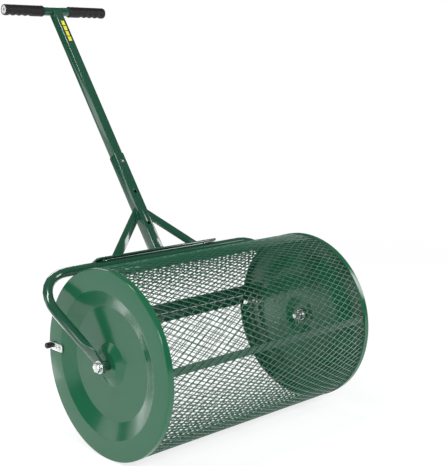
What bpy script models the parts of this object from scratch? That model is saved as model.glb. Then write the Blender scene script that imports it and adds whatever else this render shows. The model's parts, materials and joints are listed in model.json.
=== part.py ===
"""Walk-behind mesh drum roller: an openwork drum with a hinged door, turning in a handled yoke.

Blender 4.5, metres, +Z up. The drum's axle runs along X, the front is -Y and the handle leans
back over +Y. The origin is the bottom centre of the whole roller's box.

Places round the drum are given as an angle about the axle: 0 degrees is the front, 90 the top
and 180 the rear.
"""
import math

import bmesh
import bpy
from mathutils import Matrix, Vector

# ---------------------------------------------------------------- driving dimensions (metres)
DRUM_WIDTH = 0.610            # over the outer faces of the two end discs
DISC_RADIUS = 0.2013
DISC_SHEET = 0.0012
DISC_FLANGE = 0.0140          # how far the rolled rim reaches in from the face
DISC_CORNER = 0.0030          # radius of the rolled edge
DISC_BAND = 0.0448            # flat band inside the rim, before the face slopes in
DISC_SLOPE = 0.0365           # how far in the slope runs before it meets the flat pan
DISC_STEP_DEPTH = 0.0150
HUB_BOSS_FOOT = 0.0460
HUB_BOSS_TOP = 0.0280
HUB_BOSS_HEIGHT = 0.0085

SHEET = 0.0004                # solid sheet that stands for the expanded metal
BAR_THICK = 0.0030            # flat bars of the drum and the door
FRONT_BAR_WIDE = 0.0160
LANDING_BAR_WIDE = 0.0262
TOP_BAR_WIDE = 0.0460
HINGE_BAR_WIDE = 0.0180
DOOR_FREE_BAR_WIDE = 0.0205
DOOR_HINGE_BAR_WIDE = 0.0180
DOOR_SIDE_BAR_WIDE = 0.0100

FRONT_BAR_AT = 7.5            # degrees round the drum
TOP_BAR_EDGE_AT = 79.2        # front edge of the wide curved top bar
DOOR_FREE_BAR_AT = 178.6
DOOR_SEAM = 0.0014            # between the door's free bar and the bar it closes against
DOOR_HINGE_AT = 292.0
DOOR_LEAF_GAP = 0.0110        # from the hinge line to the near edge of each hinge-side bar

AXLE_BOLT_R = 0.0060
AXLE_HEAD_FLATS = 0.0190
AXLE_HEAD_HIGH = 0.0075
AXLE_NUT_HIGH = 0.0100
WASHER_R = 0.0140
WASHER_THICK = 0.0016
BUSH_R = 0.0105
BUSH_FLANGE_R = 0.0150
BUSH_FLANGE_THICK = 0.0025
SPACER_R = 0.0105
SPACER_LONG = 0.0118
AXLE_TAIL = 0.0120            # bolt left past the nut, for the retaining clip
CLIP_WIRE_R = 0.0012

TUBE_R = 0.0110               # yoke and T-bar tube
TUBE_WALL = 0.0015
YOKE_ANGLE = 139.5            # degrees round the drum, from the axle to the cross tube
YOKE_CLEAR = 0.0357           # between the drum and the cross tube
YOKE_BEND = 0.0800            # centre-line radius of the two bends
YOKE_SPREAD = 12.0            # degrees that each arm leans outwards
ARM_FLAT_THICK = 0.0055
ARM_FLAT_WIDE = 0.0310
ARM_FLAT_REACH = 0.0300       # flat stretch above the axle bolt

HANDLE_LEAN = 55.5            # degrees of the post above the ground
PLATE_LONG = 0.3660
PLATE_WIDE = 0.0300
PLATE_THICK = 0.0040
BRIDGE_BOLT_AT = 0.1510
BRIDGE_BOLT_R = 0.0030
LOWER_POST = 0.0270           # square tube, across flats
POST_WALL = 0.0012
POST_SLIP = 0.0003            # each side, between the two post tubes
LOWER_POST_LONG = 0.2600
HOLE_FIRST = 0.0670           # first adjusting hole above the plate
HOLE_PITCH = 0.0855
HOLE_COUNT = 3
UPPER_POST_TAIL = 0.0250      # upper tube below the snap button
HANDLE_LONG = 0.6890          # plate to the T-bar's centre line
BRACE_WIDE = 0.0220
BRACE_THICK = 0.0040
BRACE_FOOT_AT = 0.1180
BRACE_TOP_AT = 0.1000
T_BAR_LONG = 0.2980
GRIP_THICK = 0.0030
GRIP_LONG = 0.1120
BUTTON_R = 0.0038
BUTTON_PROUD = 0.0032
BUTTON_LONG = 0.0110

LATCH_LONG = 0.0513           # disc's rim to the latch's inner end
LATCH_RIVETS_IN = (0.0398, 0.0268)   # disc's rim to each latch rivet
LATCH_WIDE = 0.0170
LATCH_THICK = 0.0012
LATCH_OFF = 0.0004            # between the disc's face and the latch
LATCH_LIP = 0.0030            # metal of the hook outside the door's pin
LATCH_RIVET_R = 0.0024
DOOR_PIN_R = 0.0030
DOOR_PIN_INSET = 0.0073       # door pin's centre in from the disc's rim
DOOR_PIN_OUT = 0.0115         # door pin past the disc's face
CAP_R = 0.0065
NOTCH_CLEAR = 0.0005          # round the door pin in the disc's notch
HINGE_PIN_R = 0.0012
KNUCKLE_R = 0.0027
LEAF_LONG = 0.0300
LEAF_THICK = 0.0012
LEAF_WIDE = 0.0140
LEAF_PROUD = 0.0045           # leaf past its bar's edge, towards the hinge line
HINGE_COUNT = 3
HINGE_SPREAD = 0.2100         # from the middle to each outer hinge

GAP = 0.0003                  # between pieces that touch
RIM_GAP = 0.0006              # between the disc's rim and what lies under it
RUN = 0.0004                  # clearance round a turning shaft

# ---------------------------------------------------------------- worked out from those
FACE_X = DRUM_WIDTH / 2
DISC_STEP_OUTER = DISC_RADIUS - DISC_BAND
DISC_STEP_INNER = DISC_STEP_OUTER - DISC_SLOPE
LATCH_INNER = DISC_RADIUS - LATCH_LONG
LATCH_RIVETS = [DISC_RADIUS - inset for inset in LATCH_RIVETS_IN]
YOKE_REACH = DISC_RADIUS + YOKE_CLEAR + TUBE_R
UPPER_POST = LOWER_POST - 2 * POST_WALL - 2 * POST_SLIP
GRIP_R = TUBE_R + GRIP_THICK
RIM_INNER_R = DISC_RADIUS - DISC_SHEET
SKIN_OUT_R = RIM_INNER_R - RIM_GAP
SKIN_IN_R = SKIN_OUT_R - SHEET
BAR_MID_R = SKIN_IN_R - GAP - BAR_THICK / 2 - 0.0004
BAR_END_X = FACE_X - DISC_SHEET - RIM_GAP
SKIN_END_X = FACE_X - DISC_CORNER - RIM_GAP
DOOR_END_X = FACE_X - DISC_FLANGE - 0.0015
BOSS_X = FACE_X - DISC_STEP_DEPTH + HUB_BOSS_HEIGHT
BUSH_FLANGE_X = BOSS_X - DISC_SHEET - GAP - BUSH_FLANGE_THICK
BUSH_END_X = BOSS_X + 0.0020
SPACER_X = BUSH_END_X + GAP
ARM_IN_X = SPACER_X + SPACER_LONG + GAP
ARM_X = ARM_IN_X + ARM_FLAT_THICK / 2
WASHER_X = ARM_IN_X + ARM_FLAT_THICK + GAP
HEAD_X = WASHER_X + WASHER_THICK + GAP
INNER_WASHER_X = BUSH_FLANGE_X - GAP - WASHER_THICK
NUT_X = INNER_WASHER_X - GAP - AXLE_NUT_HIGH
AXLE_END_X = NUT_X - AXLE_TAIL
CLIP_X = NUT_X - 0.0060

AXLE_Z = DISC_RADIUS
HANDLE_DIR = Vector((0.0, math.cos(math.radians(HANDLE_LEAN)), math.sin(math.radians(HANDLE_LEAN))))
FRONT_DIR = Vector((0.0, -HANDLE_DIR.z, HANDLE_DIR.y))
CROSS_TUBE = Vector((0.0, -YOKE_REACH * math.cos(math.radians(YOKE_ANGLE)),
                     YOKE_REACH * math.sin(math.radians(YOKE_ANGLE))))
PLATE_FOOT = CROSS_TUBE + HANDLE_DIR * (TUBE_R + GAP)
POST_FOOT = PLATE_FOOT + HANDLE_DIR * (PLATE_THICK + GAP)
T_BAR_MID = POST_FOOT + HANDLE_DIR * HANDLE_LONG
BUTTON_AT = HOLE_FIRST + HOLE_PITCH * (HOLE_COUNT - 1)
AXLE_Y = (DISC_RADIUS - (T_BAR_MID.y + GRIP_R)) / 2
ORIGIN = Vector((0.0, AXLE_Y, AXLE_Z))

DOOR_AXIS_R = DISC_RADIUS - KNUCKLE_R - GAP
DOOR_PIN_CENTRE_R = DISC_RADIUS - DOOR_PIN_INSET
SIDES = (("left", -1), ("right", 1))


def scene_cleared():
    for obj in list(bpy.data.objects):
        bpy.data.objects.remove(obj, do_unlink=True)


scene_cleared()
parts = bpy.data.collections.new("mesh_drum_roller")
cutters = bpy.data.collections.new("cutters")
bpy.context.scene.collection.children.link(parts)
bpy.context.scene.collection.children.link(cutters)


# ---------------------------------------------------------------- materials
def finish(name, colour, roughness, metallic):
    mat = bpy.data.materials.new(name)
    mat.use_nodes = True
    shader = mat.node_tree.nodes["Principled BSDF"]
    shader.inputs["Base Color"].default_value = (*colour, 1.0)
    shader.inputs["Roughness"].default_value = roughness
    shader.inputs["Metallic"].default_value = metallic
    mat.diffuse_color = (*colour, 1.0)
    return mat


GREEN_PAINT = finish("green_paint", (0.045, 0.170, 0.095), 0.32, 0.0)
DARK_GREEN_PAINT = finish("dark_green_paint", (0.030, 0.115, 0.070), 0.35, 0.0)
ZINC = finish("zinc_plate", (0.72, 0.72, 0.70), 0.30, 1.0)
GRIP_RUBBER = finish("grip_rubber", (0.022, 0.020, 0.020), 0.65, 0.0)
BLACK_PLASTIC = finish("black_plastic", (0.018, 0.018, 0.018), 0.45, 0.0)
GREY_PLASTIC = finish("grey_plastic", (0.42, 0.43, 0.44), 0.50, 0.0)


# ---------------------------------------------------------------- joint frames
def round_drum(radius, angle, x=0.0):
    """A place at an angle round the axle, in the roller's own frame."""
    turn = math.radians(angle)
    return ORIGIN + Vector((x, -radius * math.cos(turn), radius * math.sin(turn)))


def joint_frame(name, place):
    empty = bpy.data.objects.new(name, None)
    empty.location = place
    empty.empty_display_size = 0.03
    parts.objects.link(empty)
    return empty


FRAME = joint_frame("handle_frame_origin", ORIGIN)
DRUM = joint_frame("drum_axis", ORIGIN)
DOOR = joint_frame("door_axis", round_drum(DOOR_AXIS_R, DOOR_HINGE_AT))
UPPER = joint_frame("handle_slide_axis", ORIGIN + POST_FOOT + HANDLE_DIR * BUTTON_AT)
BUTTON = joint_frame("button_axis", ORIGIN + POST_FOOT + HANDLE_DIR * BUTTON_AT)


def hang_on(obj, empty):
    """Parent a piece to its joint's empty and leave it where it is."""
    obj.parent = empty
    obj.matrix_parent_inverse = Matrix.Translation(-empty.location)


def placed(obj, name, mat, frame, matrix):
    obj.name = name
    obj.matrix_world = matrix
    obj.data.materials.clear()
    obj.data.materials.append(mat)
    if name not in parts.objects:
        for owner in list(obj.users_collection):
            owner.objects.unlink(obj)
        parts.objects.link(obj)
    hang_on(obj, frame)
    return obj


def as_cutter(obj, matrix):
    obj.matrix_world = matrix
    for owner in list(obj.users_collection):
        owner.objects.unlink(obj)
    cutters.objects.link(obj)
    obj.hide_render = True
    obj.display_type = "WIRE"
    return obj


def combined(obj, other, how):
    step = obj.modifiers.new(how.lower(), "BOOLEAN")
    step.operation = how
    step.solver = "EXACT"
    step.object = other
    return obj


def rounded(obj, width, segments=2):
    step = obj.modifiers.new("edges", "BEVEL")
    step.width = width
    step.segments = segments
    step.limit_method = "ANGLE"
    step.angle_limit = math.radians(50)
    return obj


# ---------------------------------------------------------------- raw shapes, at their own origin
def from_bmesh(name, form):
    mesh = bpy.data.meshes.new(name)
    form.to_mesh(mesh)
    form.free()
    obj = bpy.data.objects.new(name, mesh)
    parts.objects.link(obj)
    return obj


def block(name, size):
    form = bmesh.new()
    bmesh.ops.create_cube(form, size=1.0)
    bmesh.ops.scale(form, vec=size, verts=form.verts)
    return from_bmesh(name, form)


def rod(name, radius, length, sides=16, turn=0.0):
    """A round or faceted bar along Z, centred."""
    form = bmesh.new()
    bmesh.ops.create_cone(form, cap_ends=True, segments=sides, radius1=radius, radius2=radius,
                          depth=length)
    bmesh.ops.rotate(form, verts=form.verts, matrix=Matrix.Rotation(turn, 3, "Z"))
    obj = from_bmesh(name, form)
    if sides > 8:
        obj.data.shade_smooth()
        obj.data.set_sharp_from_angle(angle=math.radians(40))
    return obj


def turned(name, profile, steps=24):
    """A closed outline of (radius, height) points spun about Z."""
    mesh = bpy.data.meshes.new(name)
    points = [(r, 0.0, z) for r, z in profile]
    edges = [(i, (i + 1) % len(points)) for i in range(len(points))]
    mesh.from_pydata(points, edges, [])
    obj = bpy.data.objects.new(name, mesh)
    parts.objects.link(obj)
    spin = obj.modifiers.new("spin", "SCREW")
    spin.axis = "Z"
    spin.angle = math.tau
    spin.screw_offset = 0.0
    spin.steps = steps
    spin.render_steps = steps
    spin.use_merge_vertices = True
    spin.merge_threshold = 0.00001
    spin.use_smooth_shade = False
    return obj


def ring(name, r_in, r_out, length, steps=20):
    half = length / 2
    return turned(name, [(r_out, half), (r_out, -half), (r_in, -half), (r_in, half)], steps)


def plate(name, outlines, thickness):
    """A flat outline, with any further outlines as holes, extruded about its own plane."""
    data = bpy.data.curves.new(name, "CURVE")
    data.dimensions = "2D"
    data.fill_mode = "BOTH"
    data.extrude = thickness / 2
    for outline in outlines:
        spline = data.splines.new("POLY")
        spline.points.add(len(outline) - 1)
        for point, (x, y) in zip(spline.points, outline):
            point.co = (x, y, 0.0, 1.0)
        spline.use_cyclic_u = True
    return solid_from_curve(name, data)


def wire(name, points, radius, sides=2):
    data = bpy.data.curves.new(name, "CURVE")
    data.dimensions = "3D"
    data.bevel_depth = radius
    data.bevel_resolution = sides
    data.use_fill_caps = True
    spline = data.splines.new("POLY")
    spline.points.add(len(points) - 1)
    for point, place in zip(spline.points, points):
        point.co = (*place, 1.0)
    return solid_from_curve(name, data)


def solid_from_curve(name, data):
    """The curve as one welded mesh, so that it can be cut and joined."""
    curve = bpy.data.objects.new(name + "_curve", data)
    bpy.context.scene.collection.objects.link(curve)
    bpy.context.view_layer.update()
    shape = curve.evaluated_get(bpy.context.evaluated_depsgraph_get())
    mesh = bpy.data.meshes.new_from_object(shape)
    mesh.transform(curve.matrix_world)
    bpy.data.objects.remove(curve, do_unlink=True)
    form = bmesh.new()
    form.from_mesh(mesh)
    bmesh.ops.remove_doubles(form, verts=form.verts, dist=0.000001)
    bmesh.ops.recalc_face_normals(form, faces=form.faces)
    form.to_mesh(mesh)
    form.free()
    mesh.name = name
    obj = bpy.data.objects.new(name, mesh)
    parts.objects.link(obj)
    return obj


def arc(centre, radius, start, end, count):
    """Points of an arc, in degrees."""
    turns = [math.radians(start + (end - start) * i / count) for i in range(count + 1)]
    return [(centre[0] + radius * math.cos(t), centre[1] + radius * math.sin(t)) for t in turns]


def rounded_square(width, corner, count=3):
    half = width / 2 - corner
    corners = ((half, half, 0), (-half, half, 90), (-half, -half, 180), (half, -half, 270))
    points = []
    for x, y, start in corners:
        points += arc((x, y), corner, start, start + 90, count)
    return points


# ---------------------------------------------------------------- placing
def along_x(x, sign=1):
    """Z of the raw shape laid along X, on the axle."""
    return Matrix.Translation(ORIGIN + Vector((sign * x, 0, 0))) @ Matrix.Rotation(
        sign * math.pi / 2, 4, "Y")


def on_drum(radius, angle, x=0.0):
    """X stays X, Z points out from the axle, at an angle round the drum."""
    return Matrix.Translation(round_drum(radius, angle, x)) @ Matrix.Rotation(
        math.radians(90 - angle), 4, "X")


def on_handle(reach, front=0.0, x=0.0):
    """Z runs up the post and Y points to its back, at a distance up from the plate."""
    place = ORIGIN + POST_FOOT + HANDLE_DIR * reach + FRONT_DIR * front + Vector((x, 0, 0))
    return Matrix.Translation(place) @ Matrix.Rotation(math.radians(HANDLE_LEAN - 90), 4, "X")


def across_disc(radius, sign, x):
    """Z of the raw shape laid outwards along the axle, on the door's free edge line."""
    return Matrix.Translation(round_drum(radius, DOOR_FREE_BAR_AT, sign * x)) @ Matrix.Rotation(
        sign * math.pi / 2, 4, "Y")


def in_disc_plane(x):
    """The raw shape's X towards the rear and Y up, its thickness along the axle."""
    return Matrix.Translation(ORIGIN + Vector((x, 0, 0))) @ Matrix(
        ((0, 0, 1, 0), (1, 0, 0, 0), (0, 1, 0, 0), (0, 0, 0, 1)))


# ---------------------------------------------------------------- end discs and hubs
def disc_profile():
    """Outer surface from the rim to the bore, then the inner surface back again."""
    pan = FACE_X - DISC_STEP_DEPTH
    rim = FACE_X - DISC_FLANGE
    corner = [(DISC_RADIUS - DISC_CORNER + DISC_CORNER * math.sin(t),
               FACE_X - DISC_CORNER + DISC_CORNER * math.cos(t))
              for t in (0.0, math.pi / 6, math.pi / 3, math.pi / 2)]
    inner_r = DISC_CORNER - DISC_SHEET
    inner = [(DISC_RADIUS - DISC_CORNER + inner_r * math.sin(t),
              FACE_X - DISC_CORNER + inner_r * math.cos(t))
             for t in (math.pi / 2, math.pi / 4, 0.0)]
    slope = DISC_SHEET * 0.22
    bore = BUSH_R + GAP
    outer_face = [(bore, BOSS_X), (HUB_BOSS_TOP, BOSS_X), (HUB_BOSS_FOOT, pan),
                  (DISC_STEP_INNER, pan), (DISC_STEP_OUTER, FACE_X)] + corner
    inner_face = inner + [(DISC_STEP_OUTER + slope, FACE_X - DISC_SHEET),
                          (DISC_STEP_INNER + slope, pan - DISC_SHEET),
                          (HUB_BOSS_FOOT + slope, pan - DISC_SHEET),
                          (HUB_BOSS_TOP + slope, BOSS_X - DISC_SHEET),
                          (bore, BOSS_X - DISC_SHEET)]
    return outer_face + [(DISC_RADIUS, rim), (RIM_INNER_R, rim)] + inner_face


def notch(side, sign):
    """The slanted opening that lets the door's pin leave the disc square to the hinge line."""
    seat = round_drum(DOOR_PIN_CENTRE_R, DOOR_FREE_BAR_AT, sign * (FACE_X - DISC_FLANGE / 2))
    hinge = round_drum(DOOR_AXIS_R, DOOR_HINGE_AT, seat.x)
    arm = (seat - hinge).normalized()
    leave = arm.cross(Vector((1, 0, 0)))
    radius = DOOR_PIN_R + NOTCH_CLEAR
    deep = DISC_FLANGE + 0.006
    length = 0.030
    slot = block("notch_" + side, (deep, length, 2 * radius))
    turn = Matrix(((1, 0, 0), leave, arm)).transposed().to_4x4()
    as_cutter(slot, Matrix.Translation(seat + leave * length / 2) @ turn)
    round_end = as_cutter(rod("notch_seat_" + side, radius, deep, 20),
                          Matrix.Translation(seat) @ Matrix.Rotation(math.pi / 2, 4, "Y"))
    return slot, round_end


def end_disc(side, sign):
    disc = turned("end_disc_" + side, disc_profile(), steps=64)
    placed(disc, disc.name, GREEN_PAINT, DRUM, along_x(0.0, sign))
    for i, reach in enumerate(LATCH_RIVETS):
        hole = rod(f"rivet_hole_{side}_{i}", LATCH_RIVET_R + GAP, 0.01, 12)
        combined(disc, as_cutter(hole, across_disc(reach, sign, FACE_X)), "DIFFERENCE")
    for cutter in notch(side, sign):
        combined(disc, cutter, "DIFFERENCE")
    return disc


def hub_bush(side, sign):
    bore = AXLE_BOLT_R + RUN
    profile = [(BUSH_R, BUSH_END_X), (BUSH_R, BUSH_FLANGE_X + BUSH_FLANGE_THICK),
               (BUSH_FLANGE_R, BUSH_FLANGE_X + BUSH_FLANGE_THICK), (BUSH_FLANGE_R, BUSH_FLANGE_X),
               (bore, BUSH_FLANGE_X), (bore, BUSH_END_X)]
    return placed(turned("hub_bush_" + side, profile), "hub_bush_" + side, BLACK_PLASTIC, DRUM,
                  along_x(0.0, sign))


def axle_parts(side, sign):
    length = HEAD_X + AXLE_HEAD_HIGH - AXLE_END_X
    bolt = rod("axle_bolt_" + side, AXLE_BOLT_R, length, 20)
    head = rod("axle_head_" + side, AXLE_HEAD_FLATS / math.sqrt(3), AXLE_HEAD_HIGH, 6)
    placed(bolt, bolt.name, ZINC, FRAME, along_x(AXLE_END_X + length / 2, sign))
    as_cutter(rounded(head, 0.0012), along_x(HEAD_X + AXLE_HEAD_HIGH / 2, sign))
    cross_hole = as_cutter(rod("clip_hole_" + side, CLIP_WIRE_R + GAP, 0.03, 10),
                           Matrix.Translation(ORIGIN + Vector((sign * CLIP_X, 0, 0))))
    combined(combined(bolt, head, "UNION"), cross_hole, "DIFFERENCE")
    bore = AXLE_BOLT_R + GAP
    for name, x in (("axle_washer_outer_", WASHER_X), ("axle_washer_inner_", INNER_WASHER_X)):
        placed(ring(name + side, bore, WASHER_R, WASHER_THICK, 24), name + side, ZINC, FRAME,
               along_x(x + WASHER_THICK / 2, sign))
    placed(ring("axle_spacer_" + side, bore, SPACER_R, SPACER_LONG, 20), "axle_spacer_" + side,
           DARK_GREEN_PAINT, FRAME, along_x(SPACER_X + SPACER_LONG / 2, sign))
    nut = rod("axle_nut_" + side, AXLE_HEAD_FLATS / math.sqrt(3), AXLE_NUT_HIGH, 6)
    placed(rounded(nut, 0.0010), nut.name, ZINC, FRAME, along_x(NUT_X + AXLE_NUT_HIGH / 2, sign))
    combined(nut, as_cutter(rod("nut_bore_" + side, bore, 0.03, 20),
                            along_x(NUT_X + AXLE_NUT_HIGH / 2, sign)), "DIFFERENCE")
    retaining_clip(side, sign)


def retaining_clip(side, sign):
    """An R-clip hanging from the bolt: one leg through its cross hole, the other bowed round it."""
    bow = AXLE_BOLT_R + CLIP_WIRE_R + 0.0006
    tip, low = -0.0110, 0.0140
    eye = (low + 0.0040, -bow / 2)
    path = [(tip, 0.0), (-0.0040, 0.0), (0.0040, 0.0), (low, 0.0)]
    path += arc(eye, bow / 2, 90, -90, 6)
    path += [(low - 0.003, -bow - 0.0006)]
    path += arc((0.0, 0.0), bow, -60, -125, 5)
    path += [(tip, -bow - 0.0020)]
    clip = wire("axle_clip_" + side, [(0.0, bowed, -down) for down, bowed in path], CLIP_WIRE_R)
    place = Matrix.Translation(ORIGIN + Vector((sign * CLIP_X, 0, 0)))
    placed(clip, clip.name, ZINC, FRAME, place)


for side_name, side_sign in SIDES:
    end_disc(side_name, side_sign)
    hub_bush(side_name, side_sign)
    axle_parts(side_name, side_sign)


# ---------------------------------------------------------------- drum skin and bars
def degrees_of(width, radius):
    return math.degrees(width / radius)


def skin(name, start, end, half_width, frame):
    """A thin curved sheet over a range of angles round the drum."""
    count = max(8, round((end - start) / 4.5))
    outer = arc((0, 0), SKIN_OUT_R, 180 - start, 180 - end, count)
    inner = arc((0, 0), SKIN_IN_R, 180 - end, 180 - start, count)
    sheet = plate(name, [outer + inner], 2 * half_width)
    return placed(sheet, name, DARK_GREEN_PAINT, frame, in_disc_plane(0.0))


def flat_bar(name, angle, width, half_length, frame):
    bar = block(name, (2 * half_length, width, BAR_THICK))
    return placed(rounded(bar, 0.0006, 1), name, DARK_GREEN_PAINT, frame,
                  on_drum(BAR_MID_R, angle))


def curved_bar(name, start, end, half_width, frame):
    """A bar rolled to the drum's curve, under the mesh."""
    outer_r = SKIN_IN_R - GAP
    count = 10
    outline = arc((0, 0), outer_r, 180 - start, 180 - end, count)
    outline += arc((0, 0), outer_r - BAR_THICK, 180 - end, 180 - start, count)
    bar = plate(name, [outline], 2 * half_width)
    return placed(bar, name, DARK_GREEN_PAINT, frame, in_disc_plane(0.0))


LANDING_BAR_AT = DOOR_FREE_BAR_AT - degrees_of(
    (DOOR_FREE_BAR_WIDE + LANDING_BAR_WIDE) / 2 + DOOR_SEAM, BAR_MID_R)
HINGE_BAR_AT = DOOR_HINGE_AT - 360 + degrees_of(DOOR_LEAF_GAP + HINGE_BAR_WIDE / 2, BAR_MID_R)
DOOR_HINGE_BAR_AT = DOOR_HINGE_AT - degrees_of(DOOR_LEAF_GAP + DOOR_HINGE_BAR_WIDE / 2, BAR_MID_R)
SKIN_FROM = HINGE_BAR_AT - degrees_of(HINGE_BAR_WIDE, BAR_MID_R) / 2
SKIN_TO = LANDING_BAR_AT + degrees_of(LANDING_BAR_WIDE, BAR_MID_R) / 2 - 0.5
DOOR_FROM = DOOR_FREE_BAR_AT - degrees_of(DOOR_FREE_BAR_WIDE, BAR_MID_R) / 2 + 0.6
DOOR_TO = DOOR_HINGE_BAR_AT + degrees_of(DOOR_HINGE_BAR_WIDE, BAR_MID_R) / 2

skin("drum_mesh", SKIN_FROM, SKIN_TO, SKIN_END_X, DRUM)
flat_bar("front_bar", FRONT_BAR_AT, FRONT_BAR_WIDE, BAR_END_X, DRUM)
curved_bar("top_bar", TOP_BAR_EDGE_AT, TOP_BAR_EDGE_AT + degrees_of(TOP_BAR_WIDE, BAR_MID_R),
           BAR_END_X, DRUM)
flat_bar("landing_bar", LANDING_BAR_AT, LANDING_BAR_WIDE, BAR_END_X, DRUM)
flat_bar("hinge_bar", HINGE_BAR_AT, HINGE_BAR_WIDE, BAR_END_X, DRUM)


# ---------------------------------------------------------------- door
def door_side_bar(side, sign):
    start = DOOR_FREE_BAR_AT + degrees_of(DOOR_FREE_BAR_WIDE, BAR_MID_R) / 2 + 0.15
    end = DOOR_HINGE_BAR_AT - degrees_of(DOOR_HINGE_BAR_WIDE, BAR_MID_R) / 2 - 0.15
    outer_r = SKIN_IN_R - GAP
    count = 28
    outline = arc((0, 0), outer_r, 180 - start, 180 - end, count)
    outline += arc((0, 0), outer_r - BAR_THICK, 180 - end, 180 - start, count)
    bar = plate("door_side_bar_" + side, [outline], DOOR_SIDE_BAR_WIDE)
    placed(bar, bar.name, DARK_GREEN_PAINT, DOOR,
           in_disc_plane(sign * (DOOR_END_X - DOOR_SIDE_BAR_WIDE / 2)))


def door_free_bar():
    """Flat bar with a round pin welded to each end, standing out through the discs' notches."""
    bar = block("door_free_bar", (2 * DOOR_END_X, DOOR_FREE_BAR_WIDE, BAR_THICK))
    placed(bar, bar.name, DARK_GREEN_PAINT, DOOR, on_drum(BAR_MID_R, DOOR_FREE_BAR_AT))
    for side, sign in SIDES:
        inner_x = DOOR_END_X - 0.012
        outer_x = FACE_X + DOOR_PIN_OUT
        pin = as_cutter(rod("door_pin_" + side, DOOR_PIN_R, outer_x - inner_x, 16),
                        Matrix.Translation(round_drum(DOOR_PIN_CENTRE_R, DOOR_FREE_BAR_AT,
                                                      sign * (outer_x + inner_x) / 2))
                        @ Matrix.Rotation(math.pi / 2, 4, "Y"))
        combined(bar, pin, "UNION")
    return bar


def door_pin_cap(side, sign):
    """A moulded cap pushed over the end of the door's pin, outboard of the latch."""
    bore = DOOR_PIN_R + GAP
    start = FACE_X + LATCH_OFF + LATCH_THICK + 2 * GAP
    end = FACE_X + DOOR_PIN_OUT + 0.0018
    profile = [(0.0, end), (CAP_R - 0.0015, end), (CAP_R, end - 0.0015), (CAP_R, start),
               (bore, start), (bore, FACE_X + DOOR_PIN_OUT + GAP), (0.0, FACE_X + DOOR_PIN_OUT + GAP)]
    cap = turned("door_pin_cap_" + side, profile)
    turn = Matrix.Rotation(sign * math.pi / 2, 4, "Y")
    place = round_drum(DOOR_PIN_CENTRE_R, DOOR_FREE_BAR_AT)
    placed(cap, cap.name, BLACK_PLASTIC, DOOR, Matrix.Translation(place) @ turn)


skin("door_mesh", DOOR_FROM, DOOR_TO, DOOR_END_X, DOOR)
flat_bar("door_hinge_bar", DOOR_HINGE_BAR_AT, DOOR_HINGE_BAR_WIDE, DOOR_END_X, DOOR)
door_free_bar()
for side_name, side_sign in SIDES:
    door_side_bar(side_name, side_sign)
    door_pin_cap(side_name, side_sign)


# ---------------------------------------------------------------- door hinges
def hinge_leaf(name, x, bar_at, toward, knuckles, frame):
    """A leaf under a bar; toward is +1 for the drum's bar, -1 for the door's."""
    under = BAR_MID_R - BAR_THICK / 2 - GAP - LEAF_THICK / 2
    leaf = block(name, (LEAF_LONG, LEAF_WIDE, LEAF_THICK))
    shift = -toward * ((HINGE_BAR_WIDE - LEAF_WIDE) / 2 + LEAF_PROUD)
    lie = on_drum(under, bar_at, x) @ Matrix.Translation((0, shift, 0))
    placed(leaf, name, DARK_GREEN_PAINT, frame, lie)
    axis = round_drum(DOOR_AXIS_R, DOOR_HINGE_AT, x)
    near = lie @ Vector((0, -toward * (LEAF_WIDE / 2 - LEAF_THICK), 0))
    reach = near - axis
    turn = Matrix(((1, 0, 0), reach.normalized(), Vector((1, 0, 0)).cross(reach.normalized())))
    for i, (offset, length) in enumerate(knuckles):
        aside = Vector((offset, 0, 0))
        barrel = as_cutter(rod(f"{name}_barrel_{i}", KNUCKLE_R, length, 16),
                           Matrix.Translation(axis + aside) @ Matrix.Rotation(math.pi / 2, 4, "Y"))
        neck = as_cutter(block(f"{name}_neck_{i}", (length - GAP, reach.length, LEAF_THICK)),
                         Matrix.Translation((axis + near) / 2 + aside)
                         @ turn.transposed().to_4x4())
        combined(combined(leaf, neck, "UNION"), barrel, "UNION")
    bore = as_cutter(rod(name + "_bore", HINGE_PIN_R + GAP, LEAF_LONG * 1.4, 12),
                     Matrix.Translation(axis) @ Matrix.Rotation(math.pi / 2, 4, "Y"))
    return combined(leaf, bore, "DIFFERENCE")


THIRD = LEAF_LONG / 3
for number in range(HINGE_COUNT):
    hinge_x = (number - (HINGE_COUNT - 1) / 2) * HINGE_SPREAD * 2 / (HINGE_COUNT - 1)
    label = str(number + 1)
    hinge_leaf("drum_hinge_leaf_" + label, hinge_x, HINGE_BAR_AT, 1,
               [(-THIRD, THIRD - GAP), (THIRD, THIRD - GAP)], DRUM)
    hinge_leaf("door_hinge_leaf_" + label, hinge_x, DOOR_HINGE_BAR_AT, -1,
               [(0.0, THIRD - GAP)], DOOR)
    pin_turn = Matrix.Rotation(math.pi / 2, 4, "Y")
    placed(rod("hinge_pin_" + label, HINGE_PIN_R, LEAF_LONG + 0.002, 12), "hinge_pin_" + label, ZINC,
           DRUM, Matrix.Translation(round_drum(DOOR_AXIS_R, DOOR_HINGE_AT, hinge_x)) @ pin_turn)


# ---------------------------------------------------------------- latches
def latch_outline():
    """A spring plate, X out from the axle, with a slot open below that snaps over the door's pin."""
    reach = DOOR_PIN_CENTRE_R
    half, corner = LATCH_WIDE / 2, 0.0040
    room = DOOR_PIN_R + GAP
    tip = reach + room + LATCH_LIP
    outline = arc((LATCH_INNER + corner, -half + corner), corner, 270, 180, 3)
    outline += arc((LATCH_INNER + corner, half - corner), corner, 180, 90, 3)
    outline += arc((tip - corner, half - corner), corner, 90, 0, 3)
    outline += [(tip, -room), (tip - LATCH_LIP + 0.0006, -room)]
    outline += [(reach + room, 0.0)] + arc((reach, 0.0), room, 30, 150, 4)
    outline += [(reach - room, 0.0), (reach - room, -half + 0.0012), (reach - room - 0.0012, -half)]
    return outline


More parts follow.
